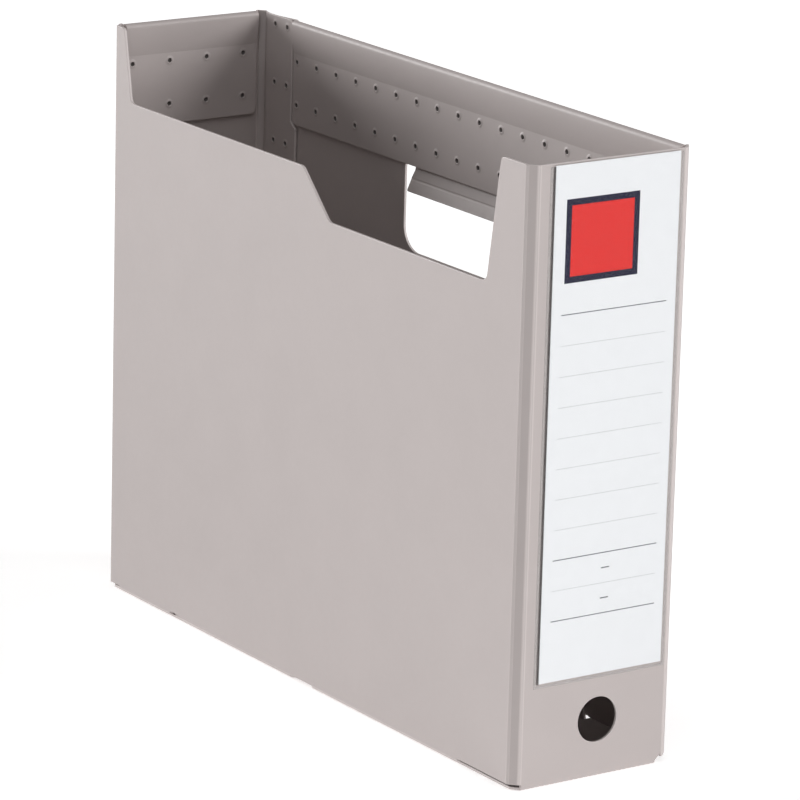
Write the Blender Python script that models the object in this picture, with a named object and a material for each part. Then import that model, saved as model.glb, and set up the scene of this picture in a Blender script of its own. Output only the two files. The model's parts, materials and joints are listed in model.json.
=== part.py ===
"""Magazine file holder, folded from one creased plastic sheet and welded, with a label in a clear pocket.

Lengths are in metres and +Z is up. The origin is at the middle of the footprint, at the height of the surface
that the box stands on. The label end faces -Y. The low side with the cut-out faces -X and is called near, the
full-height side faces +X and is called far.
"""

import math

import bmesh
import bpy
from mathutils import Matrix

MM = 0.001

# Driving dimensions.
WIDTH = 78 * MM
LENGTH = 315 * MM  # over the label pocket
HEIGHT = 254 * MM
SHEET = 1.2 * MM
GAP = 0.3 * MM
CORNER_LEG = 3.6 * MM  # each upright corner is chamfered by a strip between two creases
CREASE_TRIM = 1.0 * MM  # what a panel and a strip each stop short of the crease, so that it can fold
SIDE_BOTTOM = 1.7 * MM  # the side panels end above the outer bottom flaps

# Label and its pocket: the film stands off the front panel by the label's thickness and its play.
LABEL_WIDTH, LABEL_HEIGHT, LABEL_THICK = 60 * MM, 209.5 * MM, 0.3 * MM
LABEL_X, LABEL_BOTTOM = 1.85 * MM, 43.7 * MM
LABEL_PLAY = 0.35 * MM
FILM = 0.25 * MM
POCKET_BORDER = 2.0 * MM
POCKET_STACK = LABEL_PLAY + LABEL_THICK + GAP + FILM

# Planes of the outer faces.
NEAR_X, FAR_X = -WIDTH / 2, WIDTH / 2
FRONT_Y = -LENGTH / 2 + POCKET_STACK
REAR_Y = LENGTH / 2

# Ends of the panels along their creases.
SIDE_FRONT = FRONT_Y + CORNER_LEG + CREASE_TRIM
SIDE_REAR = REAR_Y - CORNER_LEG - CREASE_TRIM
END_HALF = WIDTH / 2 - CORNER_LEG - CREASE_TRIM
STRIP_BOTTOM = 2.6 * MM

# Cut-out of the near side.
LEVEL_HIGH, LEVEL_LOW = 222 * MM, 202.5 * MM

# Hems: the sheet is folded over inwards at the top and welded to the panel.
HEM_BOTTOM = 208 * MM
HEM_FOLD_RADIUS = 1.4 * MM  # to the middle of the sheet
HEM_FOLD_Z = HEIGHT - HEM_FOLD_RADIUS - SHEET / 2
HEM_FLAT_Z = 236 * MM  # the upper weld row, where the hem meets the panel
HEM_INSET = SHEET * 1.5 + GAP  # from a panel's outer face to the middle of the hem
FAR_HEM_REAR = 129.2 * MM
REAR_HEM_NEAR, REAR_HEM_FAR = -34 * MM, 33.5 * MM

# Seam flap on the far side's inner face, narrower beside the hem.
SEAM_NARROW_Y, SEAM_WIDE_Y = 130.6 * MM, 127.1 * MM
SEAM_REAR = 150.8 * MM  # it leaves room for the rear hem to swing past when the sleeve folds

# Hand hole in the far side, with the creased grip flap hanging from its upper edge.
HAND_HALF, HAND_BOTTOM, HAND_RADIUS = 42.6 * MM, 170.2 * MM, 11 * MM
HAND_TOP = 207.5 * MM
RELIEF_RADIUS = 2.5 * MM
GRIP_Z = 206.8 * MM
GRIP_TRIM, GRIP_BAND, GRIP_LIP = 0.7 * MM, 4.9 * MM, 5.6 * MM
GRIP_HALF_TOP, GRIP_HALF_MIDDLE, GRIP_HALF_BOTTOM = 34.8 * MM, 36 * MM, 36.2 * MM
GRIP_TILT, LIP_TILT = math.radians(15), math.radians(8)

# Finger hole in the front.
FINGER_X, FINGER_Z, FINGER_RADIUS = 1.9 * MM, 24 * MM, 9.5 * MM

# Bottom: two outer flaps hang from the ends, two inner flaps hang from the sides and lie on them.
OUTER_MEET, INNER_MEET = 6 * MM, 1 * MM  # half the gap where opposite flaps meet
HINGE_CLEAR = 0.8 * MM
OUTER_HALF = 37.2 * MM
FLAP_CORNER = 4 * MM
INNER_HIGH = 2 * SHEET + GAP  # upper face of the inner flaps
INNER_LONG, INNER_SHORT = 150 * MM, 118 * MM  # short at the corner that closes when the sleeve folds
EAR_FROM, EAR_TO = 74.5 * MM, 101.5 * MM
EAR_TAPER = 2 * MM
EAR_HEIGHT = 6 * MM
NOTCH_CLEAR, NOTCH_DEPTH = 2 * MM, 8 * MM

SIDE_PLANE = (math.radians(90), 0, math.radians(90))  # drawn in Y and Z, thick along X
END_PLANE = (math.radians(90), 0, 0)  # drawn in X and Z, thick along Y
FLOOR_PLANE = (0, 0, 0)  # drawn in X and Y, thick along Z

GREIGE = (0.49, 0.455, 0.445, 1)


def clear_scene():
    for thing in list(bpy.data.objects):
        bpy.data.objects.remove(thing, do_unlink=True)


def new_collection(name):
    made = bpy.data.collections.new(name)
    bpy.context.scene.collection.children.link(made)
    return made


def make_material(name, color=GREIGE, roughness=0.55, alpha=1.0):
    made = bpy.data.materials.new(name)
    made.use_nodes = True
    shader = made.node_tree.nodes["Principled BSDF"]
    shader.inputs["Base Color"].default_value = color
    shader.inputs["Roughness"].default_value = roughness
    shader.inputs["Metallic"].default_value = 0.0
    shader.inputs["Alpha"].default_value = alpha
    return made


def arc(centre, radius, start, end, steps=8):
    """Points of an arc, with angles in degrees."""
    angles = [math.radians(start + (end - start) * i / steps) for i in range(steps + 1)]
    return [(centre[0] + radius * math.cos(a), centre[1] + radius * math.sin(a)) for a in angles]


def rounded(corners, steps=5):
    """A closed outline from (x, y, radius) corners, each rounded by its own radius."""
    outline = []
    for i, (x, y, radius) in enumerate(corners):
        if radius == 0:
            outline.append((x, y))
            continue
        before, after = corners[i - 1], corners[(i + 1) % len(corners)]
        into = math.atan2(before[1] - y, before[0] - x)
        out = math.atan2(after[1] - y, after[0] - x)
        turn = (out - into + math.pi) % (2 * math.pi) - math.pi
        reach = radius / math.sin(abs(turn) / 2)
        middle = into + turn / 2
        centre = (x + reach * math.cos(middle), y + reach * math.sin(middle))
        side = math.copysign(math.pi / 2, turn)
        first, last = math.degrees(into - side), math.degrees(out + side)
        sweep = (last - first + 180) % 360 - 180
        outline += arc(centre, radius, first, first + sweep, steps)
    return outline


def box_outline(x0, y0, x1, y1):
    return [(x0, y0), (x1, y0), (x1, y1), (x0, y1)]


def folded_section(path):
    """The outline of the sheet's cut edge where it follows a path along the middle of its thickness."""
    left, right = [], []
    for i, (x, y) in enumerate(path):
        ahead, behind = path[min(i + 1, len(path) - 1)], path[max(i - 1, 0)]
        heading = math.atan2(ahead[1] - behind[1], ahead[0] - behind[0])
        dx, dy = -math.sin(heading) * SHEET / 2, math.cos(heading) * SHEET / 2
        left.append((x + dx, y + dy))
        right.append((x - dx, y - dy))
    return left + right[::-1]


def sheet_piece(name, outlines, thickness, plane, place, parent=None):
    """A flat piece: outlines drawn in a plane, the first its edge and the others holes, made that thick."""
    curve = bpy.data.curves.new(name, "CURVE")
    curve.dimensions = "2D"
    curve.fill_mode = "BOTH"
    curve.extrude = thickness / 2
    for outline in outlines:
        spline = curve.splines.new("POLY")
        spline.points.add(len(outline) - 1)
        spline.use_cyclic_u = True
        for point, (x, y) in zip(spline.points, outline):
            point.co = (x, y, 0, 1)
    piece = bpy.data.objects.new(name, curve)
    piece.rotation_euler = plane
    piece.location = place
    piece.parent = parent
    curve.materials.append(make_material(name))
    holder.objects.link(piece)
    return piece


def hinge_empty(name, place, parent=None, tilt=0.0):
    """An empty on a hinge's axis, which carries the pieces that turn there."""
    empty = bpy.data.objects.new(name, None)
    empty.empty_display_size = 10 * MM
    empty.location = place
    empty.rotation_euler = (0, tilt, 0)
    holder.objects.link(empty)
    if parent:
        attach(empty, parent)
    return empty


def attach(child, parent):
    """Parents an object that keeps its place in the world."""
    bpy.context.view_layer.update()
    child.parent = parent
    child.matrix_parent_inverse = parent.matrix_world.inverted()


def block(name, low, high, collection):
    """A box between two corners, with its scale in its mesh."""
    mesh = bpy.data.meshes.new(name)
    shape = bmesh.new()
    size = [b - a for a, b in zip(low, high)]
    middle = [(a + b) / 2 for a, b in zip(low, high)]
    bmesh.ops.create_cube(shape, size=1, matrix=Matrix.Diagonal((*size, 1)))
    shape.to_mesh(mesh)
    shape.free()
    made = bpy.data.objects.new(name, mesh)
    made.location = middle
    collection.objects.link(made)
    return made


def near_side_panel():
    slot_from, slot_to = EAR_FROM - 0.5 * MM, EAR_TO + 0.5 * MM
    slot_top = SIDE_BOTTOM + SHEET
    edge = rounded(
        [
            (SIDE_FRONT, SIDE_BOTTOM, 0),
            (slot_from, SIDE_BOTTOM, 0),
            (slot_from, slot_top, 0),
            (slot_to, slot_top, 0),
            (slot_to, SIDE_BOTTOM, 0),
            (SIDE_REAR, SIDE_BOTTOM, 0),
            (SIDE_REAR, HEIGHT, 0),
            (147.5 * MM, HEIGHT, 2 * MM),
            (141.2 * MM, LEVEL_HIGH, 3 * MM),
            (4.5 * MM, LEVEL_HIGH, 4 * MM),
            (-16 * MM, LEVEL_LOW, 5 * MM),
            (-128 * MM, LEVEL_LOW, 4 * MM),
            (-135.6 * MM, HEIGHT, 2.5 * MM),
            (SIDE_FRONT, HEIGHT, 0),
        ]
    )
    return sheet_piece("near_side_panel", [edge], SHEET, SIDE_PLANE, (NEAR_X + SHEET / 2, 0, 0))


def hand_hole():
    """The hand hole's outline: round lower corners, and a round relief at each end of the grip flap's crease."""
    shoulder = HAND_TOP - RELIEF_RADIUS * 0.6
    half = arc((HAND_HALF - HAND_RADIUS, HAND_BOTTOM + HAND_RADIUS), HAND_RADIUS, -90, 0)
    half += arc((HAND_HALF - RELIEF_RADIUS, shoulder), RELIEF_RADIUS, 0, 143.13)
    return half + [(-y, z) for y, z in reversed(half)]


def far_side_panel():
    top = HEM_FOLD_Z - GAP
    edge = [
        (SIDE_FRONT, SIDE_BOTTOM),
        (SIDE_REAR, SIDE_BOTTOM),
        (SIDE_REAR, HEIGHT - SHEET),
        (FAR_HEM_REAR + 2 * GAP, HEIGHT),
        (FAR_HEM_REAR + 2 * GAP, top),
        (SIDE_FRONT, top),
    ]
    return sheet_piece("far_side_panel", [edge, hand_hole()], SHEET, SIDE_PLANE, (FAR_X - SHEET / 2, 0, 0))


def front_panel():
    cut = 4 * MM
    edge = [
        (-END_HALF, 0),
        (END_HALF - cut, 0),
        (END_HALF, cut),
        (END_HALF, HEIGHT),
        (-END_HALF, HEIGHT),
    ]
    finger_hole = arc((FINGER_X, FINGER_Z), FINGER_RADIUS, 0, 345, 23)
    return sheet_piece("front_panel", [edge, finger_hole], SHEET, END_PLANE, (0, FRONT_Y + SHEET / 2, 0))


def rear_panel():
    edge = box_outline(-END_HALF, 0, END_HALF, HEM_FOLD_Z - GAP)
    return sheet_piece("rear_panel", [edge], SHEET, END_PLANE, (0, REAR_Y - SHEET / 2, 0))


def corner_strip(name, side_x, end_y):
    """A strip across a corner, from the side's crease to the end's crease, with its outer face on both."""
    trim = CREASE_TRIM / math.sqrt(2)
    inset = SHEET / 2 / math.sqrt(2)
    inward_x, inward_y = -math.copysign(1, side_x), -math.copysign(1, end_y)
    at_side = (side_x + inward_x * (trim + inset), end_y + inward_y * (CORNER_LEG - trim + inset))
    at_end = (side_x + inward_x * (CORNER_LEG - trim + inset), end_y + inward_y * (trim + inset))
    height = HEIGHT - STRIP_BOTTOM
    middle = (0, 0, STRIP_BOTTOM + height / 2)
    return sheet_piece(name, [folded_section([at_side, at_end])], height, FLOOR_PLANE, middle)


def hem_path(face):
    """The middle of the sheet from a panel's top edge over the fold and down to the hem's lower edge."""
    over = arc((face - SHEET / 2 - HEM_FOLD_RADIUS, HEM_FOLD_Z), HEM_FOLD_RADIUS, 0, 180)
    return over + [(face - HEM_INSET, HEM_FLAT_Z), (face - HEM_INSET, HEM_BOTTOM)]


def far_hem():
    length, middle = FAR_HEM_REAR - SIDE_FRONT, (FAR_HEM_REAR + SIDE_FRONT) / 2
    section = folded_section(hem_path(FAR_X))
    return sheet_piece("far_hem", [section], length, END_PLANE, (0, middle, 0))


def rear_hem():
    length, middle = REAR_HEM_FAR - REAR_HEM_NEAR, (REAR_HEM_FAR + REAR_HEM_NEAR) / 2
    section = folded_section(hem_path(REAR_Y))
    return sheet_piece("rear_hem", [section], length, SIDE_PLANE, (middle, 0, 0))


def seam_flap():
    low = 3.2 * MM
    edge = [
        (SEAM_WIDE_Y, low),
        (SEAM_REAR, low),
        (SEAM_REAR, HEIGHT - GAP),
        (SEAM_NARROW_Y, HEIGHT - GAP),
        (SEAM_NARROW_Y, 208.7 * MM),
        (SEAM_WIDE_Y, 205.8 * MM),
    ]
    return sheet_piece("seam_flap", [edge], SHEET, SIDE_PLANE, (FAR_X - HEM_INSET, 0, 0))


def outer_bottom_flap(name, ear_name, panel, face_y, inward, ear_side):
    """An outer flap on an end panel's lower edge, with the ear that locks it into a side's crease."""
    hinge_y = face_y + inward * SHEET
    hinge = hinge_empty(name + "_hinge", (0, hinge_y, SHEET / 2), panel)
    start, stop = hinge_y + inward * HINGE_CLEAR, -inward * OUTER_MEET
    edge = [
        (-OUTER_HALF + FLAP_CORNER, start),
        (OUTER_HALF - FLAP_CORNER, start),
        (OUTER_HALF, start + inward * FLAP_CORNER),
        (OUTER_HALF, stop),
        (-OUTER_HALF, stop),
        (-OUTER_HALF, start + inward * FLAP_CORNER),
    ]
    attach(sheet_piece(name, [edge], SHEET, FLOOR_PLANE, (0, 0, SHEET / 2)), hinge)
    low, high = SHEET + GAP, SHEET + GAP + EAR_HEIGHT
    ear = [
        (-inward * EAR_FROM, low),
        (-inward * EAR_TO, low),
        (-inward * (EAR_TO - EAR_TAPER), high),
        (-inward * (EAR_FROM + EAR_TAPER), high),
    ]
    ear_x = ear_side * (OUTER_HALF - SHEET / 2 + 0.2 * MM)
    attach(sheet_piece(ear_name, [ear], SHEET, SIDE_PLANE, (ear_x, 0, 0)), hinge)


def inner_bottom_flap(name, panel, side):
    """An inner flap on a side panel's lower edge, notched round the ear that comes up through its crease."""
    hinge_x = side * (WIDTH / 2 - SHEET)
    hinge = hinge_empty(name + "_hinge", (hinge_x, 0, INNER_HIGH), panel)
    start, stop = hinge_x - side * GAP, side * INNER_MEET
    notch, corner = hinge_x - side * NOTCH_DEPTH, hinge_x - side * FLAP_CORNER
    long_end, short_end = -side * INNER_LONG, side * INNER_SHORT
    notch_outer, notch_inner = -side * (EAR_TO + NOTCH_CLEAR), -side * (EAR_FROM - NOTCH_CLEAR)
    edge = [
        (start, long_end + side * FLAP_CORNER),
        (start, notch_outer),
        (notch, notch_outer),
        (notch, notch_inner),
        (start, notch_inner),
        (start, short_end),
        (stop, short_end),
        (stop, long_end),
        (corner, long_end),
    ]
    attach(sheet_piece(name, [edge], SHEET, FLOOR_PLANE, (0, 0, INNER_HIGH - SHEET / 2)), hinge)


def grip_flap():
    """Two creased bands that hang from the hand hole's upper edge and lean inwards."""
    band_hinge = hinge_empty("grip_hinge", (FAR_X - SHEET / 2, 0, GRIP_Z), tilt=GRIP_TILT)
    lip_hinge = hinge_empty("lip_hinge", (0, 0, -GRIP_BAND), tilt=LIP_TILT)
    lip_hinge.parent = band_hinge
    band = [
        (-GRIP_HALF_TOP, -GRIP_TRIM),
        (GRIP_HALF_TOP, -GRIP_TRIM),
        (GRIP_HALF_MIDDLE, GAP - GRIP_BAND),
        (-GRIP_HALF_MIDDLE, GAP - GRIP_BAND),
    ]
    sheet_piece("grip_band", [band], SHEET, SIDE_PLANE, (0, 0, 0), parent=band_hinge)
    lip = [
        (-GRIP_HALF_MIDDLE, -GAP),
        (GRIP_HALF_MIDDLE, -GAP),
        (GRIP_HALF_BOTTOM, -GRIP_LIP),
        (-GRIP_HALF_BOTTOM, -GRIP_LIP),
    ]
    sheet_piece("grip_lip", [lip], SHEET, SIDE_PLANE, (0, 0, 0), parent=lip_hinge)


def label():
    """The card stands between the front panel and a clear film that is open at the top."""
    x0, x1 = LABEL_X - LABEL_WIDTH / 2, LABEL_X + LABEL_WIDTH / 2
    back = FRONT_Y - LABEL_PLAY
    card_low = (x0, back - LABEL_THICK, LABEL_BOTTOM)
    card = block("label_card", card_low, (x1, back, LABEL_BOTTOM + LABEL_HEIGHT), holder)
    card.data.materials.append(make_material("label_card", (0.88, 0.9, 0.92, 1), 0.6))

    film_front = FRONT_Y - POCKET_STACK
    low = (x0 - POCKET_BORDER, film_front, LABEL_BOTTOM - POCKET_BORDER)
    high = (x1 + POCKET_BORDER, FRONT_Y - GAP, LABEL_BOTTOM + LABEL_HEIGHT - GAP)
    pocket = block("label_pocket", low, high, holder)
    pocket.data.materials.append(make_material("label_pocket", (0.9, 0.9, 0.9, 1), 0.15, 0.25))
    room_low = (x0 - GAP, film_front + FILM, LABEL_BOTTOM - GAP)
    room = block("label_room", room_low, (x1 + GAP, FRONT_Y, HEIGHT + 5 * MM), cutters)
    room.hide_render = True
    room.display_type = "WIRE"
    cut = pocket.modifiers.new("room for the label", "BOOLEAN")
    cut.operation = "DIFFERENCE"
    cut.object = room
    return card, pocket, room


def sleeve():
    """The four panels in a ring. Each corner has two upright creases, and the strip between them turns too."""
    far_side_panel()
    far_hem()
    seam_flap()
    side_front, side_rear = FRONT_Y + CORNER_LEG, REAR_Y - CORNER_LEG
    end_x = WIDTH / 2 - CORNER_LEG

    far_front = hinge_empty("far_front_side_crease", (FAR_X, side_front, 0))
    attach(corner_strip("far_front_corner_strip", FAR_X, FRONT_Y), far_front)
    front = hinge_empty("far_front_end_crease", (end_x, FRONT_Y, 0), far_front)
    attach(front_panel(), front)
    near_front = hinge_empty("near_front_end_crease", (-end_x, FRONT_Y, 0), front)
    attach(corner_strip("near_front_corner_strip", NEAR_X, FRONT_Y), near_front)
    near = hinge_empty("near_front_side_crease", (NEAR_X, side_front, 0), near_front)
    attach(near_side_panel(), near)

    far_rear = hinge_empty("far_rear_side_crease", (FAR_X, side_rear, 0))
    attach(corner_strip("far_rear_corner_strip", FAR_X, REAR_Y), far_rear)
    rear = hinge_empty("far_rear_end_crease", (end_x, REAR_Y, 0), far_rear)
    attach(rear_panel(), rear)
    attach(rear_hem(), rear)
    near_rear = hinge_empty("near_rear_end_crease", (-end_x, REAR_Y, 0), rear)
    attach(corner_strip("near_rear_corner_strip", NEAR_X, REAR_Y), near_rear)
    return front, rear, near


clear_scene()
holder = new_collection("magazine_file_holder")
cutters = new_collection("cutters")
front_end, rear_end, near_wall = sleeve()
outer_bottom_flap("front_bottom_flap", "front_lock_ear", front_end, FRONT_Y, 1, 1)
outer_bottom_flap("rear_bottom_flap", "rear_lock_ear", rear_end, REAR_Y, -1, -1)
inner_bottom_flap("near_bottom_flap", near_wall, -1)
inner_bottom_flap("far_bottom_flap", None, 1)
grip_flap()
for label_piece in label():
    attach(label_piece, front_end)
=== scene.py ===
"""Looks of the magazine file holder: creased plastic sheet, welded hems, a printed label in a clear pocket.

Lengths are in metres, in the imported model's frame. The label end faces -Y and the low, near side faces -X.
"""

import json
import math

import bmesh
import bpy
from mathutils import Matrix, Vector
from mathutils.geometry import tessellate_polygon


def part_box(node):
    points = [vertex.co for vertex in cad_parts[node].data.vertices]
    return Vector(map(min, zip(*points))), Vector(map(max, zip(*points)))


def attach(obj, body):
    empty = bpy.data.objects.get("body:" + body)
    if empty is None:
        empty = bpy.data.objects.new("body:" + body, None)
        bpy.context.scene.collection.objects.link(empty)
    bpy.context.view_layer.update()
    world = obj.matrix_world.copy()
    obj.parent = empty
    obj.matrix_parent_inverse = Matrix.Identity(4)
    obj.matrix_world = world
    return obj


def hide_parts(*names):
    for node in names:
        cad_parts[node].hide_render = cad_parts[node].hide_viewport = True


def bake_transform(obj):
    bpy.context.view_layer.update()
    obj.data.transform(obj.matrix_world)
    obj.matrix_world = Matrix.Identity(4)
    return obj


MM = 0.001

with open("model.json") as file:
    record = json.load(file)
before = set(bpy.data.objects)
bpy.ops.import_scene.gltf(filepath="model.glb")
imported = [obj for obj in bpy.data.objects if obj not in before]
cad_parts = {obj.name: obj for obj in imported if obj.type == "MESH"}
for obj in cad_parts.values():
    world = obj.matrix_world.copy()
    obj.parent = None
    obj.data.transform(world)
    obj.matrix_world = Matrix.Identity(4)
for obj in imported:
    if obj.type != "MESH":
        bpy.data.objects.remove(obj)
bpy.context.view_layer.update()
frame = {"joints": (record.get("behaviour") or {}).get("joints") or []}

# Outer faces and sheet thickness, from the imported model.
near_low, near_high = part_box("near_side_panel")
far_low, far_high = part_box("far_side_panel")
front_low, front_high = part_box("front_panel")
rear_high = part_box("rear_panel")[1]
NEAR_X, FAR_X = near_low.x, far_high.x
FRONT_Y, REAR_Y = front_low.y, rear_high.y
SHEET = near_high.x - near_low.x
TOP = front_high.z
HINGES = [joint for joint in frame["joints"] if joint["type"] == "hinge"]
AXIS = {joint["name"]: Vector(joint["pos_m"]) for joint in HINGES}
SIDE_FRONT, SIDE_REAR = AXIS["near_side_crease"].y, AXIS["far_rear_crease"].y  # creases at the sides' ends
END_X = AXIS["front_crease"].x  # creases at the end panels' sides are at plus and minus this
REACH = near_low.y - SIDE_FRONT  # a crease's piece reaches this far each way from its axis
STRIP_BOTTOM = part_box("near_front_corner_strip")[0].z

CUT_ROUND = 0.18 * MM  # radius of a cut edge
ROUND_STEPS = 3
ON_EDGE = 1e-6  # a point this near a line is on it

# Upper edge of the near side: a high level behind, a low one in front, and a post at each end.
LEVEL_HIGH, LEVEL_LOW = 222 * MM, 202.5 * MM
REAR_POST_TOP_Y, REAR_POST_FOOT_Y = 147.5 * MM, 141.2 * MM
SLOPE_TOP_Y, SLOPE_FOOT_Y = 4.5 * MM, -16 * MM
FRONT_POST_FOOT_Y, FRONT_POST_TOP_Y = -128 * MM, -135.6 * MM

FRONT_CUT = 4 * MM  # off the front's far lower corner
FINGER_HOLE_MIDDLE, FINGER_HOLE_RADIUS = (1.9 * MM, 24 * MM), 9.5 * MM
EAR_CLEAR, EAR_SLOT_DEPTH = 0.5 * MM, 0.2 * MM  # of the slots that the lock ears stand in

# Hems.
HEM_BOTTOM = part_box("far_hem")[0].z
HEM_FOLD_RADIUS = 1.4 * MM
HEM_FOLD_Z = TOP - HEM_FOLD_RADIUS - SHEET / 2
HEM_FLAT_Z = 239.5 * MM
HEM_GAP = 0.3 * MM
FAR_HEM_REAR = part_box("far_hem")[1].y

# Weld pits.
PIT_PROFILE = [(2.2, 0), (1.7, -0.14), (1.25, -0.24), (0.98, -0.05), (0.85, 0.35), (0.65, 0.85), (0, 1.0)]
PIT_POINTS = 14
ROW_HIGH, ROW_LOW = 236 * MM, 216.8 * MM
FAR_PITCH, FAR_FIRST, FAR_COUNT = 15.5 * MM, 126.1 * MM, 18
REAR_PITCH, REAR_FIRST, REAR_COUNT = 18.9 * MM, 26.4 * MM, 4
SEAM_PITCH, SEAM_FIRST, SEAM_COUNT = 26 * MM, 250.0 * MM, 10
SEAM_COLUMNS = (134.6 * MM, 144.2 * MM)

# Step of the seam flap, which is narrower beside the far hem.
SEAM_HEM_CLEAR = 1.4 * MM
STEP_NARROW_Z, STEP_WIDE_Z = 208.7 * MM, 205.8 * MM

# Hand hole and its grip flap.
HAND_HALF, HAND_BOTTOM, HAND_RADIUS = 42.6 * MM, 170.2 * MM, 11 * MM
HAND_TOP = 207.5 * MM
RELIEF_RADIUS = 2.5 * MM
GRIP_HALF_TOP, GRIP_HALF_MIDDLE, GRIP_HALF_BOTTOM = 34.8 * MM, 36 * MM, 36.2 * MM
GRIP_REACH, LIP_LENGTH = 0.7 * MM, 5.6 * MM
LIP_TURN = math.radians(8)  # from the band to the lip

# Print on the label, measured from the card's lower left corner as seen from the front.
FRAME_LEFT, FRAME_RIGHT, FRAME_BOTTOM, FRAME_TOP = 5.7 * MM, 40.8 * MM, 162.2 * MM, 195.7 * MM
FRAME_BORDER = 2.6 * MM
RULE_LEFT, RULE_RIGHT = 4.9 * MM, 55.6 * MM
RULE_WIDTH, FAINT_WIDTH = 0.4 * MM, 0.3 * MM
TITLE_TOP, TITLE_BOTTOM, YEAR_BOTTOM = 149.7 * MM, 50.2 * MM, 25.1 * MM
TITLE_ROWS = 8
DASH_LEFT, DASH_RIGHT, DASH_WIDTH = 28.6 * MM, 32.6 * MM, 0.5 * MM


# ---------------------------------------------------------------- outlines


def arc(centre, radius, start, end, steps=8):
    """Points of an arc, with angles in degrees."""
    angles = [math.radians(start + (end - start) * i / steps) for i in range(steps + 1)]
    return [(centre[0] + radius * math.cos(a), centre[1] + radius * math.sin(a)) for a in angles]


def rounded(corners, steps=8):
    """A closed outline from (x, y, radius) corners, each rounded by its own radius."""
    outline = []
    for i, (x, y, radius) in enumerate(corners):
        if radius == 0:
            outline.append((x, y))
            continue
        before, after = corners[i - 1], corners[(i + 1) % len(corners)]
        into = math.atan2(before[1] - y, before[0] - x)
        out = math.atan2(after[1] - y, after[0] - x)
        turn = (out - into + math.pi) % (2 * math.pi) - math.pi
        reach = radius / math.sin(abs(turn) / 2)
        middle = into + turn / 2
        centre = (x + reach * math.cos(middle), y + reach * math.sin(middle))
        side = math.copysign(math.pi / 2, turn)
        first, last = math.degrees(into - side), math.degrees(out + side)
        sweep = (last - first + 180) % 360 - 180
        outline += arc(centre, radius, first, first + sweep, steps)
    return outline


def area(outline):
    """Signed area, positive when the outline runs counter-clockwise."""
    pairs = zip(outline, outline[1:] + outline[:1])
    return sum(ax * by - bx * ay for (ax, ay), (bx, by) in pairs) / 2


def directed(outline, counter_clockwise):
    return outline if (area(outline) > 0) == counter_clockwise else outline[::-1]


def shrunk(outline, offsets):
    """The outline with each edge moved to its left by its own amount."""
    count = len(outline)
    normals = []
    for i in range(count):
        (ax, ay), (bx, by) = outline[i], outline[(i + 1) % count]
        length = math.hypot(bx - ax, by - ay)
        normals.append(((ay - by) / length, (bx - ax) / length))
    moved = []
    for i, (x, y) in enumerate(outline):
        (ax, ay), (bx, by) = normals[i - 1], normals[i]
        first, second = offsets[i - 1], offsets[i]
        cross = ax * by - ay * bx
        if abs(cross) < 1e-3:
            step = (first + second) / 2
            moved.append((x + (ax + bx) / 2 * step, y + (ay + by) / 2 * step))
        else:
            dx = (first * by - second * ay) / cross
            dy = (ax * second - bx * first) / cross
            moved.append((x + dx, y + dy))
    return moved


def bezier(start, via, end, steps=8):
    points = []
    for i in range(steps + 1):
        t = i / steps
        weights = ((1 - t) ** 2, 2 * t * (1 - t), t * t)
        points.append(tuple(sum(w * p[k] for w, p in zip(weights, (start, via, end))) for k in range(2)))
    return points


# ---------------------------------------------------------------- meshes


def add_object(name, shape, materials):
    """Makes an object of a bmesh, with smooth faces parted where they turn sharply."""
    bmesh.ops.recalc_face_normals(shape, faces=shape.faces)
    for face in shape.faces:
        face.smooth = True
    for edge in shape.edges:
        if edge.smooth and len(edge.link_faces) == 2:
            edge.smooth = edge.calc_face_angle(0) < math.radians(40)
    mesh = bpy.data.meshes.new(name)
    shape.to_mesh(mesh)
    shape.free()
    for made in materials:
        mesh.materials.append(made)
    piece = bpy.data.objects.new(name, mesh)
    bpy.context.scene.collection.objects.link(piece)
    return piece


def bridge(shape, first, second, slots):
    """Faces between two closed rings of vertices, with a material slot for each."""
    count = len(first)
    for i in range(count):
        j = (i + 1) % count
        face = shape.faces.new((first[i], first[j], second[j], second[i]))
        face.material_index = slots[i]


def sheet(name, place, outline, holes=(), pits=(), joined=None, thickness=None, materials=None):
    """A flat sheet with rounded cut edges, closed on all sides.

    place turns (a, b, depth) into a point, with depth running inwards from the outer face. joined says of an
    edge's middle that another piece goes on from it, so that it isn't rounded. pits are weld pits' centres on
    the inner face.
    """
    thickness = thickness or SHEET
    shape = bmesh.new()
    loops = [directed(outline, True)] + [directed(hole, False) for hole in holes]
    turns = [math.radians(90) * i / ROUND_STEPS for i in range(ROUND_STEPS + 1)]
    profile = [(CUT_ROUND * (1 - math.sin(a)), CUT_ROUND * (1 - math.cos(a))) for a in turns]
    levels = [(inset, depth) for inset, depth in profile]
    levels += [(inset, thickness - depth) for inset, depth in reversed(profile)]
    outer_cap, inner_cap = [], []
    for loop in loops:
        ends = zip(loop, loop[1:] + loop[:1])
        open_edge = [bool(joined and joined((ax + bx) / 2, (ay + by) / 2)) for (ax, ay), (bx, by) in ends]
        rings = []
        for inset, depth in levels:
            moved = shrunk(loop, [0 if is_open else inset for is_open in open_edge])
            rings.append([shape.verts.new(place(a, b, depth)) for a, b in moved])
            if not rings[:-1]:
                outer_cap.append((moved, rings[0]))
        inner_cap.append((moved, rings[-1]))
        for first, second in zip(rings, rings[1:]):
            bridge(shape, first, second, [0 if is_open else 1 for is_open in open_edge])
    for centre in pits:
        inner_cap.append(pit(shape, place, centre, thickness))
    for cap in (outer_cap, inner_cap):
        vertices = [vertex for _, ring in cap for vertex in ring]
        for triangle in tessellate_polygon([[Vector((a, b, 0)) for a, b in points] for points, _ in cap]):
            shape.faces.new([vertices[i] for i in triangle])
        for _, ring in cap:
            for i, vertex in enumerate(ring):
                shape.edges.get((vertex, ring[i - 1])).smooth = False
    return add_object(name, shape, materials or [plastic, cut_edge, weld])


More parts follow.
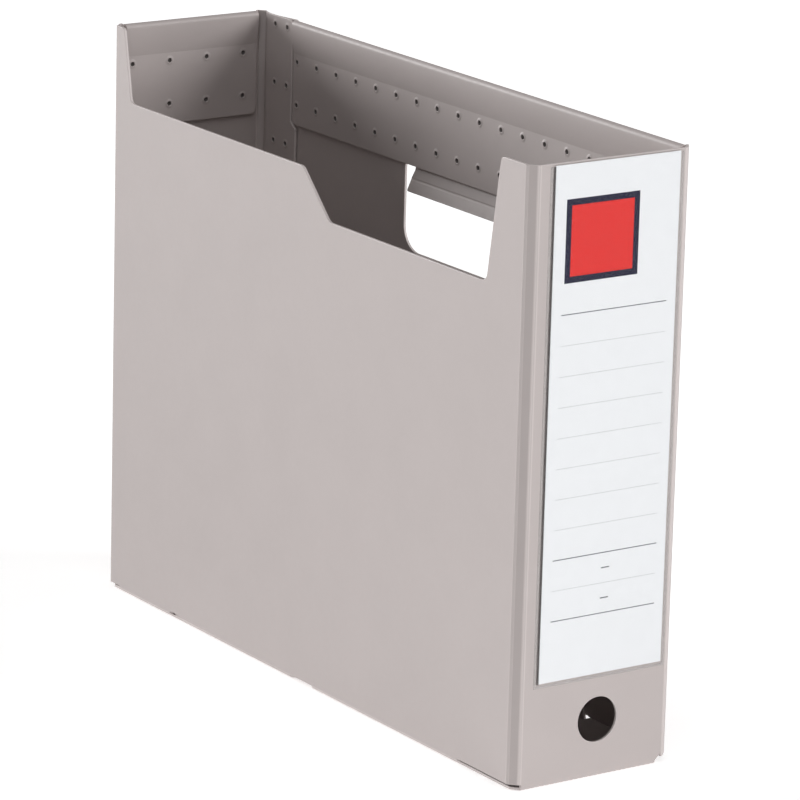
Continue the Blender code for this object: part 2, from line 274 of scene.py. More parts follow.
def pit(shape, place, centre, thickness):
    """A weld pit with the melted rim round it, sunk from the inner face. Gives its outer circle."""
    rings, outer = [], []
    for radius, sink in PIT_PROFILE[:-1]:
        circle = arc(centre, radius * MM, 0, 360 - 360 / PIT_POINTS, PIT_POINTS - 1)
        outer = outer or circle
        rings.append([shape.verts.new(place(a, b, thickness - sink * MM)) for a, b in circle])
    for i, (first, second) in enumerate(zip(rings, rings[1:])):
        # Past the rim, the pit's walls and bottom take slot 2, painted shade for the pit's depth.
        bridge(shape, first, second, [0 if i < 3 else 2] * PIT_POINTS)
    bottom = shape.verts.new(place(*centre, thickness - PIT_PROFILE[-1][1] * MM))
    for i, vertex in enumerate(rings[-1]):
        face = shape.faces.new((vertex, rings[-1][i - 1], bottom))
        face.material_index = 2
    return outer, rings[0]


def border(grid):
    """The ring of vertices round a grid of them."""
    right, left = [line[-1] for line in grid[:-1]], [line[0] for line in grid[:0:-1]]
    return grid[0][:-1] + right + grid[-1][:0:-1] + left


def bar(name, place, section, start, end, materials=None, cuts=(1, 1)):
    """A closed section drawn out from start to end. place turns (u, v, along) into a point."""
    shape = bmesh.new()
    rings = [[shape.verts.new(place(u, v, along)) for u, v in section] for along in (start, end)]
    bridge(shape, *rings, [0] * len(section))
    for ring, slot in zip(rings, cuts):
        flat = [Vector((u, v, 0)) for u, v in section]
        for triangle in tessellate_polygon([flat]):
            shape.faces.new([ring[i] for i in triangle]).material_index = slot
        for i, vertex in enumerate(ring):
            shape.edges.get((vertex, ring[i - 1])).smooth = False
    return add_object(name, shape, materials or [plastic, cut_edge, weld])


def crease_section(outer_start, outer_via, outer_end, inner_start, inner_via, inner_end, score=0.1 * MM):
    """The section of a crease between two sheet ends, scored along the middle of its outer face."""
    outer = bezier(outer_start, outer_via, outer_end, 12)
    inner = bezier(inner_start, inner_via, inner_end, 8)
    toward = Vector(inner[4]) - Vector(outer[6])
    toward.normalize()
    for i, depth in ((5, 0.45), (6, 1), (7, 0.45)):
        outer[i] = tuple(Vector(outer[i]) + toward * score * depth)
    return outer + inner[::-1]


# ---------------------------------------------------------------- materials


class Nodes:
    """A node material whose nodes are added by short calls."""

    def __init__(self, name):
        self.material = bpy.data.materials.new(name)
        self.material.use_nodes = True
        self.tree = self.material.node_tree
        self.shader = self.tree.nodes["Principled BSDF"]
        self.place = self.add("ShaderNodeTexCoord").outputs["Object"]

    def add(self, kind, **inputs):
        node = self.tree.nodes.new(kind)
        for key, value in inputs.items():
            self.put(node.inputs[key.replace("_", " ")], value)
        return node

    def put(self, socket, value):
        if isinstance(value, bpy.types.NodeSocket):
            self.tree.links.new(value, socket)
        else:
            socket.default_value = value

    def noise(self, scale, detail=2.0, roughness=0.5, vector=None):
        source = vector or self.place
        node = self.add("ShaderNodeTexNoise", Vector=source, Scale=scale, Detail=detail, Roughness=roughness)
        return node.outputs["Fac"]

    def spread(self, value, low, high):
        """A value near 0.5, such as noise, spread from low to high."""
        limits = {"From_Min": 0.3, "From_Max": 0.7, "To_Min": low, "To_Max": high}
        node = self.add("ShaderNodeMapRange", Value=value, **limits)
        return node.outputs["Result"]

    def shade(self, color, factor):
        """A colour times a grey factor."""
        grey = self.add("ShaderNodeCombineColor", Red=factor, Green=factor, Blue=factor).outputs["Color"]
        node = self.tree.nodes.new("ShaderNodeMix")
        node.data_type = "RGBA"
        node.blend_type = "MULTIPLY"
        self.put(node.inputs["Factor"], 1.0)
        self.put(node.inputs[6], color)
        self.put(node.inputs[7], grey)
        return node.outputs[2]

    def bump(self, height, distance, strength=1.0, normal=None):
        node = self.add("ShaderNodeBump", Height=height, Distance=distance, Strength=strength)
        if normal:
            self.put(node.inputs["Normal"], normal)
        return node.outputs["Normal"]

    def finish(self, **inputs):
        for key, value in inputs.items():
            self.put(self.shader.inputs[key.replace("_", " ")], value)
        return self.material


def make_plastic(name, color, roughness=0.5, grain=1.0):
    """Extruded polypropylene sheet: a fine sand grain, slow unevenness, and a faint mottle in its colour."""
    m = Nodes(name)
    mottle = m.spread(m.noise(40, 3), 0.985, 1.012)
    fine = m.noise(2600, 1)
    slow = m.noise(9, 1)
    wavy = m.bump(slow, 0.9 * MM, 0.5)
    sand = m.bump(fine, 0.03 * MM * grain, 0.6, wavy)
    gloss = m.spread(m.noise(420, 2), roughness - 0.05, roughness + 0.06)
    return m.finish(
        Base_Color=m.shade(color, mottle),
        Roughness=gloss,
        Normal=sand,
        Specular_IOR_Level=0.42,
    )


def make_ink(name, color, roughness=0.38):
    m = Nodes(name)
    density = m.spread(m.noise(900, 3), 0.94, 1.05)
    return m.finish(
        Base_Color=m.shade(color, density),
        Roughness=m.spread(m.noise(300, 2), roughness - 0.05, roughness + 0.05),
        Specular_IOR_Level=0.1,
    )


def make_card(name, color):
    m = Nodes(name)
    fibre = m.noise(1400, 4, 0.7)
    return m.finish(
        Base_Color=m.shade(color, m.spread(m.noise(260, 3), 0.985, 1.012)),
        Roughness=m.spread(fibre, 0.5, 0.62),
        Normal=m.bump(fibre, 0.012 * MM, 0.5),
    )


def make_film(name, color, alpha, roughness):
    m = Nodes(name)
    haze = m.noise(120, 2)
    return m.finish(
        Base_Color=m.shade(color, m.spread(haze, 0.95, 1.05)),
        Alpha=alpha,
        Roughness=m.spread(haze, roughness - 0.03, roughness + 0.04),
        Normal=m.bump(m.noise(22, 1), 0.5 * MM, 0.4),
        Specular_IOR_Level=0.5,
    )


GREIGE = (0.5, 0.447, 0.436, 1)
plastic = make_plastic("sheet_plastic", GREIGE)
# Cut edges are painted lighter than the sheet: partly the whitening of a cut, partly a painted highlight
# along the rims.
cut_edge = make_plastic("cut_edge", (0.64, 0.58, 0.567, 1), 0.42, 0.5)
# Creases are painted lighter than the sheet: partly the whitening of a fold, partly a painted highlight along
# the fold's light line.
crease = make_plastic("crease", (0.59, 0.53, 0.517, 1), 0.42, 0.6)
# The weld pits' walls and bottoms are painted nearly black: painted shade for the depth of the pits, with a
# glossier finish.
weld = make_plastic("weld_pit_shade", (0.16, 0.145, 0.14, 1), 0.3, 0.4)
card_white = make_card("card_white", (0.89, 0.905, 0.925, 1))
ink_navy = make_ink("ink_navy", (0.018, 0.018, 0.045, 1))
ink_red = make_ink("ink_red", (0.79, 0.035, 0.03, 1))
ink_grey = make_ink("ink_grey", (0.16, 0.17, 0.18, 1))
ink_faint = make_ink("ink_faint", (0.68, 0.7, 0.71, 1))
film = make_film("pocket_film", (0.3, 0.3, 0.31, 1), 0.03, 0.12)
film_weld = make_film("pocket_weld", (0.6, 0.58, 0.57, 1), 0.22, 0.3)
# The film's slope along the label's left edge is painted dark: a painted shadow line beside the label.
film_bend_shadow = make_film("pocket_bend_shadow", (0.06, 0.055, 0.055, 1), 0.3, 0.25)


# ---------------------------------------------------------------- places


def along_side(face_x, inward):
    """Drawn in Y and Z, with depth along X from an outer face."""
    return lambda a, b, depth: Vector((face_x + inward * depth, a, b))


def along_end(face_y, inward):
    """Drawn in X and Z, with depth along Y from an outer face."""
    return lambda a, b, depth: Vector((a, face_y + inward * depth, b))


def on_floor(face_z):
    """Drawn in X and Y, with depth upwards from an underside."""
    return lambda a, b, depth: Vector((a, b, face_z + depth))


def upright(u, v, along):
    return Vector((u, v, along))


def ride(piece, body, *nodes, slot="sheet"):
    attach(piece, body)
    if nodes:
        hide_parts(*nodes)
    return piece


def blend(piece, first, second, start, end, slot="sheet"):
    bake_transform(piece)
    return piece


# ---------------------------------------------------------------- the four panels


def near_side():
    ear_low, ear_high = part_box("rear_lock_ear")
    slot_from, slot_to = ear_low.y - EAR_CLEAR, ear_high.y + EAR_CLEAR
    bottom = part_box("near_bottom_flap")[1].z
    slot_top = bottom + EAR_SLOT_DEPTH
    front, rear = near_low.y, near_high.y
    outline = rounded(
        [
            (front, bottom, 0),
            (slot_from, bottom, 0),
            (slot_from, slot_top, 0),
            (slot_to, slot_top, 0),
            (slot_to, bottom, 0),
            (rear, bottom, 0),
            (rear, TOP, 0),
            (REAR_POST_TOP_Y, TOP, 2 * MM),
            (REAR_POST_FOOT_Y, LEVEL_HIGH, 3 * MM),
            (SLOPE_TOP_Y, LEVEL_HIGH, 4 * MM),
            (SLOPE_FOOT_Y, LEVEL_LOW, 5 * MM),
            (FRONT_POST_FOOT_Y, LEVEL_LOW, 4 * MM),
            (FRONT_POST_TOP_Y, TOP, 2.5 * MM),
            (front, TOP, 0),
        ]
    )

    def joined(a, b):
        in_slot = slot_from - 0.1 * MM < a < slot_to + 0.1 * MM
        return a < front + ON_EDGE or a > rear - ON_EDGE or (b < bottom + ON_EDGE and not in_slot)

    piece = sheet("near_side", along_side(NEAR_X, 1), outline, joined=joined)
    ride(piece, "near_side", "near_side_panel")


def far_side():
    shoulder = HAND_TOP - RELIEF_RADIUS * 0.6
    half = arc((HAND_HALF - HAND_RADIUS, HAND_BOTTOM + HAND_RADIUS), HAND_RADIUS, -90, 0, 14)
    half += arc((HAND_HALF - RELIEF_RADIUS, shoulder), RELIEF_RADIUS, 0, 143.13, 12)
    hand_hole = half + [(-y, z) for y, z in reversed(half)]
    front, rear = far_low.y, far_high.y
    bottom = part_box("far_bottom_flap")[1].z
    top = HEM_FOLD_Z
    ear_low, ear_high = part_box("front_lock_ear")
    slot_from, slot_to = ear_low.y - EAR_CLEAR, ear_high.y + EAR_CLEAR
    slot_top = bottom + EAR_SLOT_DEPTH
    outline = [
        (front, bottom),
        (slot_from, bottom),
        (slot_from, slot_top),
        (slot_to, slot_top),
        (slot_to, bottom),
        (rear, bottom),
        (rear, TOP - SHEET),
        (FAR_HEM_REAR + 0.6 * MM, TOP),
        (FAR_HEM_REAR, top),
        (front, top),
    ]

    def joined(a, b):
        in_slot = slot_from - 0.1 * MM < a < slot_to + 0.1 * MM
        grip = abs(a) < HAND_HALF - 2 * RELIEF_RADIUS and b > HAND_TOP - 0.1 * MM
        return a < front + ON_EDGE or (b < bottom + ON_EDGE and not in_slot) or grip

    piece = sheet("far_side", along_side(FAR_X, -1), outline, [hand_hole], joined=joined)
    ride(piece, "far_side", "far_side_panel")


def end_panels():
    half, bottom = front_high.x, SHEET
    cut_start = half - FRONT_CUT + bottom
    outline = [(-half, bottom), (cut_start, bottom), (half, FRONT_CUT), (half, TOP), (-half, TOP)]
    finger_hole = arc(FINGER_HOLE_MIDDLE, FINGER_HOLE_RADIUS, 0, 354, 59)

    def joined(a, b):
        return abs(a) > half - ON_EDGE or b < bottom + ON_EDGE

    piece = sheet("front", along_end(FRONT_Y, 1), outline, [finger_hole], joined=joined)
    ride(piece, "front", "front_panel")
    outline = [(-half, bottom), (half, bottom), (half, HEM_FOLD_Z), (-half, HEM_FOLD_Z)]
    piece = sheet("rear", along_end(REAR_Y, -1), outline, joined=joined)
    ride(piece, "rear", "rear_panel")


# ---------------------------------------------------------------- hems


def hem_roll(name, place, start, end, body):
    """The folded top of a hem, from the panel's top edge over and down to the flat, welded part."""
    middle = arc((SHEET / 2 + HEM_FOLD_RADIUS, HEM_FOLD_Z), HEM_FOLD_RADIUS, 180, 0, 20)
    flat_depth = 1.5 * SHEET + HEM_GAP
    last = middle[-1]
    middle += bezier(last, (last[0] + 0.1 * MM, HEM_FOLD_Z - 5 * MM), (flat_depth, HEM_FLAT_Z), 10)[1:]
    left, right = [], []
    for i, (u, v) in enumerate(middle):
        ahead, behind = middle[min(i + 1, len(middle) - 1)], middle[max(i - 1, 0)]
        heading = math.atan2(ahead[1] - behind[1], ahead[0] - behind[0])
        if i in (0, len(middle) - 1):
            heading = math.radians(90 if i == 0 else -90)
        dx, dy = -math.sin(heading) * SHEET / 2, math.cos(heading) * SHEET / 2
        left.append((u + dx, v + dy))
        right.append((u - dx, v - dy))
    piece = bar(name, place, left + right[::-1], start, end)
    return ride(piece, body)


def under_fold(a, b):
    return b > HEM_FLAT_Z - ON_EDGE


def far_hem():
    start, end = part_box("far_hem")[0].y, FAR_HEM_REAR
    flat_face = FAR_X - SHEET - HEM_GAP
    outline = rounded(
        [(start, HEM_BOTTOM, 0), (end, HEM_BOTTOM, 2.5 * MM), (end, HEM_FLAT_Z, 0), (start, HEM_FLAT_Z, 0)]
    )
    columns = [FAR_FIRST - FAR_PITCH * i for i in range(FAR_COUNT)]
    pits = [(y, z) for y in columns for z in (ROW_HIGH, ROW_LOW)]
    piece = sheet("far_hem_flat", along_side(flat_face, -1), outline, pits=pits, joined=under_fold)
    ride(piece, "far_side", "far_hem")
    hem_roll("far_hem_fold", lambda u, v, along: Vector((FAR_X - u, along, v)), start, end, "far_side")


def rear_hem():
    low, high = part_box("rear_hem")
    start, end = low.x, high.x
    flat_face = REAR_Y - SHEET - HEM_GAP
    outline = rounded(
        [
            (start, HEM_BOTTOM, 2.5 * MM),
            (end, HEM_BOTTOM, 2.5 * MM),
            (end, HEM_FLAT_Z, 0),
            (start, HEM_FLAT_Z, 0),
        ]
    )
    columns = [REAR_FIRST - REAR_PITCH * i for i in range(REAR_COUNT)]
    pits = [(x, z) for x in columns for z in (ROW_HIGH, ROW_LOW)]
    piece = sheet("rear_hem_flat", along_end(flat_face, -1), outline, pits=pits, joined=under_fold)
    ride(piece, "rear", "rear_hem")
    hem_roll("rear_hem_fold", lambda u, v, along: Vector((along, REAR_Y - u, v)), start, end, "rear")


def seam_flap():
    low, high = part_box("seam_flap")
    narrow = FAR_HEM_REAR + SEAM_HEM_CLEAR
    outline = rounded(
        [
            (low.y, low.z, 0),
            (high.y, low.z, 0),
            (high.y, high.z, 0),
            (narrow, high.z, 3 * MM),
            (narrow, STEP_NARROW_Z, 0),
            (low.y, STEP_WIDE_Z, 0.5 * MM),
        ]
    )
    rows = [SEAM_FIRST - SEAM_PITCH * i for i in range(SEAM_COUNT)]
    pits = [(y, z) for z in rows for y in SEAM_COLUMNS]
    piece = sheet(
        "seam_flap_flat", along_side(high.x, -1), outline, pits=pits, joined=lambda a, b: a > high.y - ON_EDGE
    )
    ride(piece, "far_side", "seam_flap")


# ---------------------------------------------------------------- corners


def corner(name, side_x, end_y, side_body, strip_body, end_body, node):
    """The strip across an upright corner, and its creases. A side crease is only made with a side_body."""
    out_x, out_y = math.copysign(1, side_x), math.copysign(1, end_y)
    side_axis = Vector((side_x, SIDE_FRONT if out_y < 0 else SIDE_REAR))
    end_axis = Vector((out_x * END_X, end_y))
    across = (end_axis - side_axis).normalized()
    inward = Vector((-out_x, -out_y)).normalized()
    length = (end_axis - side_axis).length

    def place(a, b, depth):
        flat = side_axis + across * a + inward * depth
        return Vector((flat.x, flat.y, b))

    low, high = REACH, length - REACH
    outline = [(low, STRIP_BOTTOM), (high, STRIP_BOTTOM), (high, TOP), (low, TOP)]

    def joined(a, b):
        return a < low + ON_EDGE or a > high - ON_EDGE

    strip = sheet(name + "_strip", place, outline, joined=joined)
    ride(strip, strip_body, node)
    side_way, side_in = Vector((0, -out_y)), Vector((-out_x, 0))
    end_way, end_in = Vector((-out_x, 0)), Vector((0, -out_y))
    creases = [("end", end_axis, end_way, end_in, -across, end_body)]
    if side_body:
        creases.insert(0, ("side", side_axis, side_way, side_in, across, side_body))
    for label, axis, panel_way, panel_in, strip_way, panel_body in creases:
        panel_start, strip_end = axis + panel_way * REACH, axis + strip_way * REACH
        inner_via = axis + (panel_in + inward).normalized() * SHEET * 0.42
        inner_start, inner_end = panel_start + panel_in * SHEET, strip_end + inward * SHEET
        section = crease_section(panel_start, axis, strip_end, inner_start, inner_via, inner_end)
        piece = bar(f"{name}_{label}_crease", upright, section, STRIP_BOTTOM, TOP, [crease, cut_edge])
        start, end = panel_start + panel_in * SHEET / 2, strip_end + inward * SHEET / 2
        blend(piece, panel_body, strip_body, (*start, TOP), (*end, TOP))


def corners():
    for name, side_x, end_y, side_body, end_body in (
        ("near_front", NEAR_X, FRONT_Y, "near_side", "front"),
        ("far_front", FAR_X, FRONT_Y, "far_side", "front"),
        ("far_rear", FAR_X, REAR_Y, None, "rear"),
        ("near_rear", NEAR_X, REAR_Y, None, "rear"),
    ):
        corner(name, side_x, end_y, side_body, name + "_corner", end_body, name + "_corner_strip")
    near_rear_side_crease()
    seam_crease()


def near_rear_side_crease():
    """The crease that closes the ring has no joint of its own: each side of it has half."""
    axis = Vector((NEAR_X, SIDE_REAR))
    panel_way, panel_in = Vector((0, -1)), Vector((1, 0))
    strip_way, strip_in = Vector((1, 1)).normalized(), Vector((1, -1)).normalized()
    middle = (panel_in + strip_in).normalized()
    web = 0.45 * MM
    for name, way, into, body in (
        ("near_rear_side_crease_panel", panel_way, panel_in, "near_side"),
        ("near_rear_side_crease_strip", strip_way, strip_in, "near_rear_corner"),
    ):
        start = axis + way * REACH
        inner = bezier(start + into * SHEET, axis + way * REACH * 0.35 + into * web, axis + middle * web, 5)
        section = [tuple(start), tuple(axis + middle * 0.03 * MM)] + inner[::-1]
        ride(bar(name, upright, section, STRIP_BOTTOM, TOP), body)


def seam_crease():
    """The seam flap goes on round the corner inside the far side, into the corner strip."""
    axis = AXIS["far_rear_crease"].to_2d()
    way, into = Vector((-1, 1)).normalized(), Vector((-1, -1)).normalized()
    strip_outer = axis + way * REACH
    strip_inner = strip_outer + into * SHEET
    flap_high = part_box("seam_flap")[1]
    flap_outer, flap_inner = Vector((flap_high.x, flap_high.y)), Vector((flap_high.x - SHEET, flap_high.y))
    outer = bezier(strip_outer, (axis.x - 0.9 * MM, axis.y - 0.6 * MM), flap_outer, 10)
    inner = bezier(strip_inner, (flap_inner.x + 0.35 * MM, flap_inner.y + 2.2 * MM), flap_inner, 10)
    piece = bar("far_rear_seam_crease", upright, outer + inner[::-1], STRIP_BOTTOM + 0.6 * MM, flap_high.z)
    start, end = (flap_outer + flap_inner) / 2, (strip_outer + strip_inner) / 2
    blend(piece, "far_side", "far_rear_corner", (*start, TOP), (*end, TOP))


# ---------------------------------------------------------------- bottom


def bottom_fold(name, spans, corner_point, outward, place, bodies):
    """The fold at a panel's foot, a quarter round about the inner corner, for each span along it."""
    u, v = corner_point
    for i, (start, end) in enumerate(spans):
        outer = arc((u, v), SHEET, 180 if outward < 0 else 0, 270 if outward < 0 else -90, 8)
        section = outer + [(u - outward * 0.02 * MM, v + 0.02 * MM)]
        piece = bar(f"{name}_{i}", place, section, start, end)
        first = place(*outer[0], start)
        last = place(*outer[-1], start)
        blend(piece, *bodies, first, last)


def outer_flap(name, end_y, span, body, node, ear_node, ear_side):
    low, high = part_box(node)
    inward = 1 if end_y < 0 else -1
    hinge = end_y + inward * SHEET
    half, stop = high.x, (high.y if inward > 0 else low.y)
    outline = rounded(
        [
            (span[0], hinge, 0),
            (span[1], hinge, 0),
            (half, hinge + inward * (half - span[1]), 1 * MM),
            (half, stop, 3 * MM),
            (-half, stop, 3 * MM),
            (-half, hinge + inward * (half + span[0]), 1 * MM),
        ]
    )
    piece = sheet(name, on_floor(0), outline, joined=lambda a, b: abs(b - hinge) < ON_EDGE)
    ride(piece, body, node)
    ear_low, ear_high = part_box(ear_node)
    taper = 2 * MM
    ear = rounded(
        [
            (ear_low.y, SHEET, 0),
            (ear_high.y, SHEET, 0),
            (ear_high.y - taper, ear_high.z, 1.2 * MM),
            (ear_low.y + taper, ear_high.z, 1.2 * MM),
        ]
    )
    outer_face = ear_high.x if ear_side > 0 else ear_low.x
    piece = sheet(name + "_ear", along_side(outer_face, -ear_side), ear)
    ride(piece, body, ear_node)


def inner_flap(name, side, body, node, ear_node):
    low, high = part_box(node)
    hinge = side * (FAR_X - SHEET)
    stop = low.x if side > 0 else high.x
    ear_low, ear_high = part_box(ear_node)
    clear, depth = 2 * MM, 8 * MM
    cut = 4 * MM
    long_end, short_end = (low.y, high.y) if side > 0 else (high.y, low.y)
    notch_low, notch_high = ear_low.y - clear, ear_high.y + clear
    notch_far, notch_near = (notch_low, notch_high) if side > 0 else (notch_high, notch_low)
    outline = rounded(
        [
            (hinge, long_end + side * cut, 0),
            (hinge, notch_far, 0),
            (hinge - side * depth, notch_far, 1 * MM),
            (hinge - side * depth, notch_near, 1 * MM),
            (hinge, notch_near, 0),
            (hinge, short_end, 0),
            (stop, short_end, 3 * MM),
            (stop, long_end, 3 * MM),
            (hinge - side * cut, long_end, 1 * MM),
        ]
    )
    piece = sheet(name, on_floor(low.z), outline, joined=lambda a, b: abs(a - hinge) < ON_EDGE)
    ride(piece, body, node)
    ends = sorted([long_end + side * cut, notch_far, notch_near, short_end])
    return [(ends[0], ends[1]), (ends[2], ends[3])]


def bottom():
    half = front_high.x
    front_span, rear_span = (-half, half - FRONT_CUT + SHEET), (-half, half)
    for end, end_y, span, ear_side in (("front", FRONT_Y, front_span, 1), ("rear", REAR_Y, rear_span, -1)):
        body = end + "_outer_flap"
        outer_flap(body, end_y, span, body, end + "_bottom_flap", end + "_lock_ear", ear_side)
    for name, end_y, inward, span, body, flap_body in (
        ("front_fold", FRONT_Y, 1, front_span, "front", "front_outer_flap"),
        ("rear_fold", REAR_Y, -1, rear_span, "rear", "rear_outer_flap"),
    ):
        bottom_fold(
            name,
            [span],
            (end_y + inward * SHEET, SHEET),
            -inward,
            lambda u, v, along: Vector((along, u, v)),
            (body, flap_body),
        )
    near_spans = inner_flap("near_inner_flap", -1, "near_inner_flap", "near_bottom_flap", "rear_lock_ear")
    far_spans = inner_flap("far_inner_flap", 1, "far_inner_flap", "far_bottom_flap", "front_lock_ear")
    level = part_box("near_bottom_flap")[1].z
    for name, side, spans, body, flap_body in (
        ("near_fold", -1, near_spans, "near_side", "near_inner_flap"),
        ("far_fold", 1, far_spans, "far_side", "far_inner_flap"),
    ):
        bottom_fold(
            name,
            spans,
            (side * (FAR_X - SHEET), level),
            side,
            lambda u, v, along: Vector((u, along, v)),
            (body, flap_body),
        )


# ---------------------------------------------------------------- grip flap


def grip_flap():
    hinge, lip_hinge = AXIS["grip_fold"], AXIS["lip_fold"]
    down = (lip_hinge - hinge).normalized()
    length = (lip_hinge - hinge).length
    tilt = math.atan2(-down.x, -down.z)

    def leaning(origin, angle):
        way = Vector((-math.sin(angle), 0, -math.cos(angle)))
        out = Vector((math.cos(angle), 0, -math.sin(angle)))
        return lambda a, b, depth: origin + way * -b + Vector((0, a, 0)) + out * (SHEET / 2 - depth)

    band_place, lip_place = leaning(hinge, tilt), leaning(lip_hinge, tilt + LIP_TURN)
    band = [
        (-GRIP_HALF_TOP, -GRIP_REACH),
        (GRIP_HALF_TOP, -GRIP_REACH),
        (GRIP_HALF_MIDDLE, -length + GRIP_REACH),
        (-GRIP_HALF_MIDDLE, -length + GRIP_REACH),
    ]
    piece = sheet("grip_band", band_place, band, joined=lambda a, b: abs(a) < GRIP_HALF_TOP - 1 * MM)
    ride(piece, "grip_upper", "grip_band")
    lip = rounded(
        [
            (-GRIP_HALF_MIDDLE, -GRIP_REACH, 0),
            (GRIP_HALF_MIDDLE, -GRIP_REACH, 0),
            (GRIP_HALF_BOTTOM, -LIP_LENGTH, 1 * MM),
            (-GRIP_HALF_BOTTOM, -LIP_LENGTH, 1 * MM),
        ]
    )
    piece = sheet("grip_lip", lip_place, lip, joined=lambda a, b: b > -GRIP_REACH - ON_EDGE)
    ride(piece, "grip_lower", "grip_lip")

    def flat(point):
        return (point.x, point.z)

    def across(u, v, along):
        return Vector((u, along, v))

    top_outer, top_inner = Vector((FAR_X, 0, HAND_TOP)), Vector((FAR_X - SHEET, 0, HAND_TOP))
    band_outer, band_inner = band_place(0, -GRIP_REACH, 0), band_place(0, -GRIP_REACH, SHEET)
    outer_via = Vector((FAR_X - 0.02 * MM, 0, hinge.z + 0.1 * MM))
    inner_via = (top_inner + band_inner) / 2 + Vector((0.25 * MM, 0, 0))
    section = crease_section(
        flat(top_outer), flat(outer_via), flat(band_outer), flat(top_inner), flat(inner_via), flat(band_inner)
    )
    piece = bar("grip_crease", across, section, -GRIP_HALF_TOP, GRIP_HALF_TOP)
    blend(piece, "far_side", "grip_upper", (top_outer + top_inner) / 2, (band_outer + band_inner) / 2)
    end_outer, end_inner = band_place(0, -length + GRIP_REACH, 0), band_place(0, -length + GRIP_REACH, SHEET)
    lip_outer, lip_inner = lip_place(0, -GRIP_REACH, 0), lip_place(0, -GRIP_REACH, SHEET)
    outer_via = (end_outer + lip_outer) / 2 - Vector((0.25 * MM, 0, 0))
    inner_via = (end_inner + lip_inner) / 2 + Vector((0.3 * MM, 0, 0))
    corners_and_vias = (end_outer, outer_via, lip_outer, end_inner, inner_via, lip_inner)
    section = crease_section(*(flat(point) for point in corners_and_vias), score=0)
    piece = bar("lip_crease", across, section, -GRIP_HALF_MIDDLE, GRIP_HALF_MIDDLE)
    blend(piece, "grip_upper", "grip_lower", (end_outer + end_inner) / 2, (lip_outer + lip_inner) / 2)


# ---------------------------------------------------------------- label and pocket


def label_card():
    """The card's printed face is cut into cells along the print's edges, and each cell has its ink."""
    low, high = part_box("label_card")
    width, height = high.x - low.x, high.z - low.z
    prints = [
        (FRAME_LEFT, FRAME_BOTTOM, FRAME_RIGHT, FRAME_TOP, 1),
        (
            FRAME_LEFT + FRAME_BORDER,
            FRAME_BOTTOM + FRAME_BORDER,
            FRAME_RIGHT - FRAME_BORDER,
            FRAME_TOP - FRAME_BORDER,
            2,
        ),
    ]
    for z in (TITLE_TOP, TITLE_BOTTOM, YEAR_BOTTOM):
        prints.append((RULE_LEFT, z - RULE_WIDTH / 2, RULE_RIGHT, z + RULE_WIDTH / 2, 3))
    row = (TITLE_TOP - TITLE_BOTTOM) / TITLE_ROWS
    faint = [TITLE_BOTTOM + row * i for i in range(1, TITLE_ROWS)] + [(TITLE_BOTTOM + YEAR_BOTTOM) / 2]
    for z in faint:
        prints.append((RULE_LEFT, z - FAINT_WIDTH / 2, RULE_RIGHT, z + FAINT_WIDTH / 2, 4))
    half_row = (TITLE_BOTTOM - YEAR_BOTTOM) / 4
    for z in (YEAR_BOTTOM + half_row, TITLE_BOTTOM - half_row):
        prints.append((DASH_LEFT, z - DASH_WIDTH / 2, DASH_RIGHT, z + DASH_WIDTH / 2, 3))
    columns = sorted({0, width, *(p[0] for p in prints), *(p[2] for p in prints)})
    rows = sorted({0, height, *(p[1] for p in prints), *(p[3] for p in prints)})
    shape = bmesh.new()
    front = [[shape.verts.new((low.x + x, low.y, low.z + z)) for x in columns] for z in rows]
    back = [[shape.verts.new((low.x + x, high.y, low.z + z)) for x in columns] for z in rows]
    for j in range(len(rows) - 1):
        for i in range(len(columns) - 1):
            x, z = (columns[i] + columns[i + 1]) / 2, (rows[j] + rows[j + 1]) / 2
            ink = [p[4] for p in prints if p[0] < x < p[2] and p[1] < z < p[3]]
            face = shape.faces.new((front[j][i], front[j][i + 1], front[j + 1][i + 1], front[j + 1][i]))
            face.material_index = ink[-1] if ink else 0
            shape.faces.new((back[j][i], back[j + 1][i], back[j + 1][i + 1], back[j][i + 1]))

    bridge(shape, border(front), border(back), [0] * len(border(front)))
    piece = add_object("label_card", shape, [card_white, ink_navy, ink_red, ink_grey, ink_faint])
    ride(piece, "label", "label_card", slot="label")


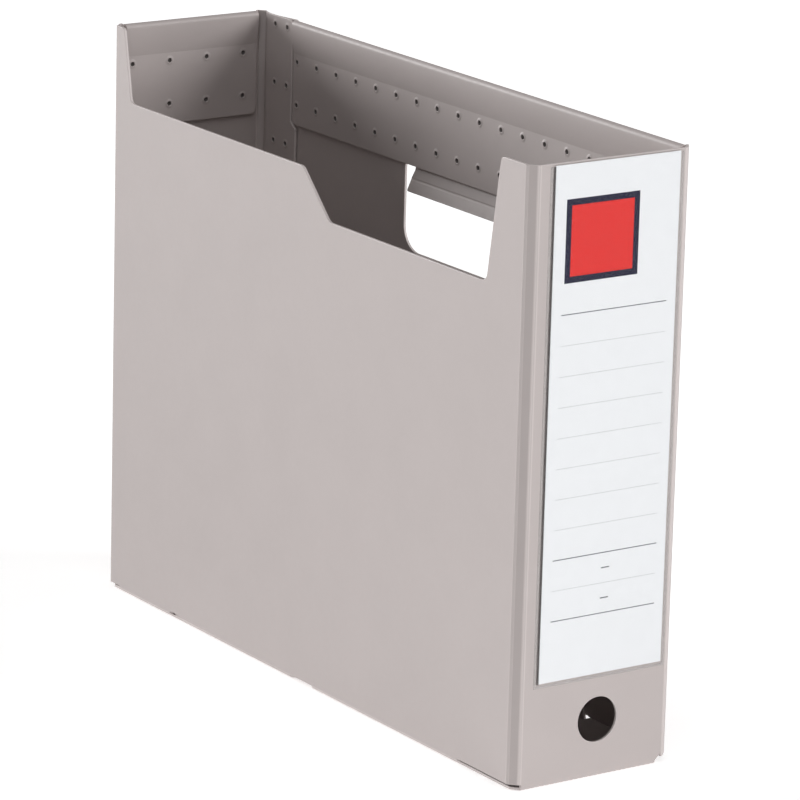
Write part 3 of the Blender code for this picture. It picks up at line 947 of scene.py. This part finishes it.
def label_pocket():
    """A clear film, raised over the label and welded to the front panel along three edges, with a painted
    shadow line on its slope beside the label's left edge.
    """
    low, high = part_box("label_pocket")
    raised, film_thick, weld_width, slope = FRONT_Y - low.y, 0.2 * MM, 1.1 * MM, 0.7 * MM
    seat = film_thick + 0.02 * MM
    side = [(0, seat), (weld_width, seat), (weld_width + slope, raised)]
    width, height = high.x - low.x, high.z - low.z
    across = side + [(width - u, h) for u, h in reversed(side)]
    upward = side + [(height * i / 6, raised) for i in range(1, 7)]
    shape = bmesh.new()
    outer, inner = [], []
    for z, rise in upward:
        heights = [min(h, rise) for _, h in across]
        points = [(low.x + u, FRONT_Y - h, low.z + z) for (u, _), h in zip(across, heights)]
        outer.append([shape.verts.new(p) for p in points])
        inner.append([shape.verts.new((x, y + film_thick, z_up)) for x, y, z_up in points])
    for j in range(len(upward) - 1):
        for i in range(len(across) - 1):
            # Slot 1 is the weld along three edges; slot 2, the slope beside the label's left edge, is a
            # painted shadow line.
            slot = 1 if j == 0 or i in (0, len(across) - 2) else 2 if i == 1 and j > 1 else 0
            for grid in (outer, inner):
                face = shape.faces.new((grid[j][i], grid[j][i + 1], grid[j + 1][i + 1], grid[j + 1][i]))
                face.material_index = slot

    bridge(shape, border(outer), border(inner), [1] * len(border(outer)))
    piece = add_object("label_pocket", shape, [film, film_weld, film_bend_shadow])
    ride(piece, "front", "label_pocket", slot="film")


# ---------------------------------------------------------------- studio


def make_stage():
    bpy.ops.mesh.primitive_circle_add(vertices=96, radius=9, fill_type="NGON", location=(0, 0, -0.0003))
    floor = bpy.context.object
    floor.name = "studio_floor"
    m = Nodes("studio_floor")
    m.finish(
        Base_Color=(0.9, 0.9, 0.9, 1),
        Roughness=0.9,
        Specular_IOR_Level=0.1,
        Emission_Color=(1, 1, 1, 1),
        Emission_Strength=0.5,
    )
    floor.data.materials.append(m.material)
    world = bpy.data.worlds.new("studio")
    world.use_nodes = True
    background = world.node_tree.nodes["Background"]
    background.inputs["Color"].default_value = (1, 1, 1, 1)
    background.inputs["Strength"].default_value = 0.11
    bpy.context.scene.world = world


def add_sun(name, azimuth, elevation, spread, strength):
    """A distant soft light. Azimuth 0 shines from -Y, and 90 from +X."""
    lamp = bpy.data.lights.new(name, "SUN")
    lamp.angle = math.radians(spread)
    lamp.energy = strength
    thing = bpy.data.objects.new(name, lamp)
    a, e = math.radians(azimuth), math.radians(elevation)
    toward = Vector((math.sin(a) * math.cos(e), -math.cos(a) * math.cos(e), math.sin(e)))
    thing.rotation_euler = toward.to_track_quat("Z", "Y").to_euler()
    bpy.context.scene.collection.objects.link(thing)


def make_camera():
    data = bpy.data.cameras.new("camera")
    data.lens = 224.9
    data.sensor_width = 36
    data.clip_start, data.clip_end = 0.05, 40
    camera = bpy.data.objects.new("camera", data)
    camera.location = (-1.1307, -1.6709, 0.6723)
    camera.rotation_euler = [math.radians(v) for v in (74.65, -1.47, -33.9)]
    bpy.context.scene.collection.objects.link(camera)
    bpy.context.scene.camera = camera
    bpy.context.scene.view_settings.view_transform = "Standard"


make_camera()
make_stage()
add_sun("overhead", -30, 60, 50, 0.65)
add_sun("left_rear", 200, 12, 30, 2.95)
add_sun("right_front", 40, 25, 30, 1.62)
near_side()
far_side()
end_panels()
far_hem()
rear_hem()
seam_flap()
corners()
bottom()
grip_flap()
label_card()
label_pocket()

bpy.context.view_layer.update()
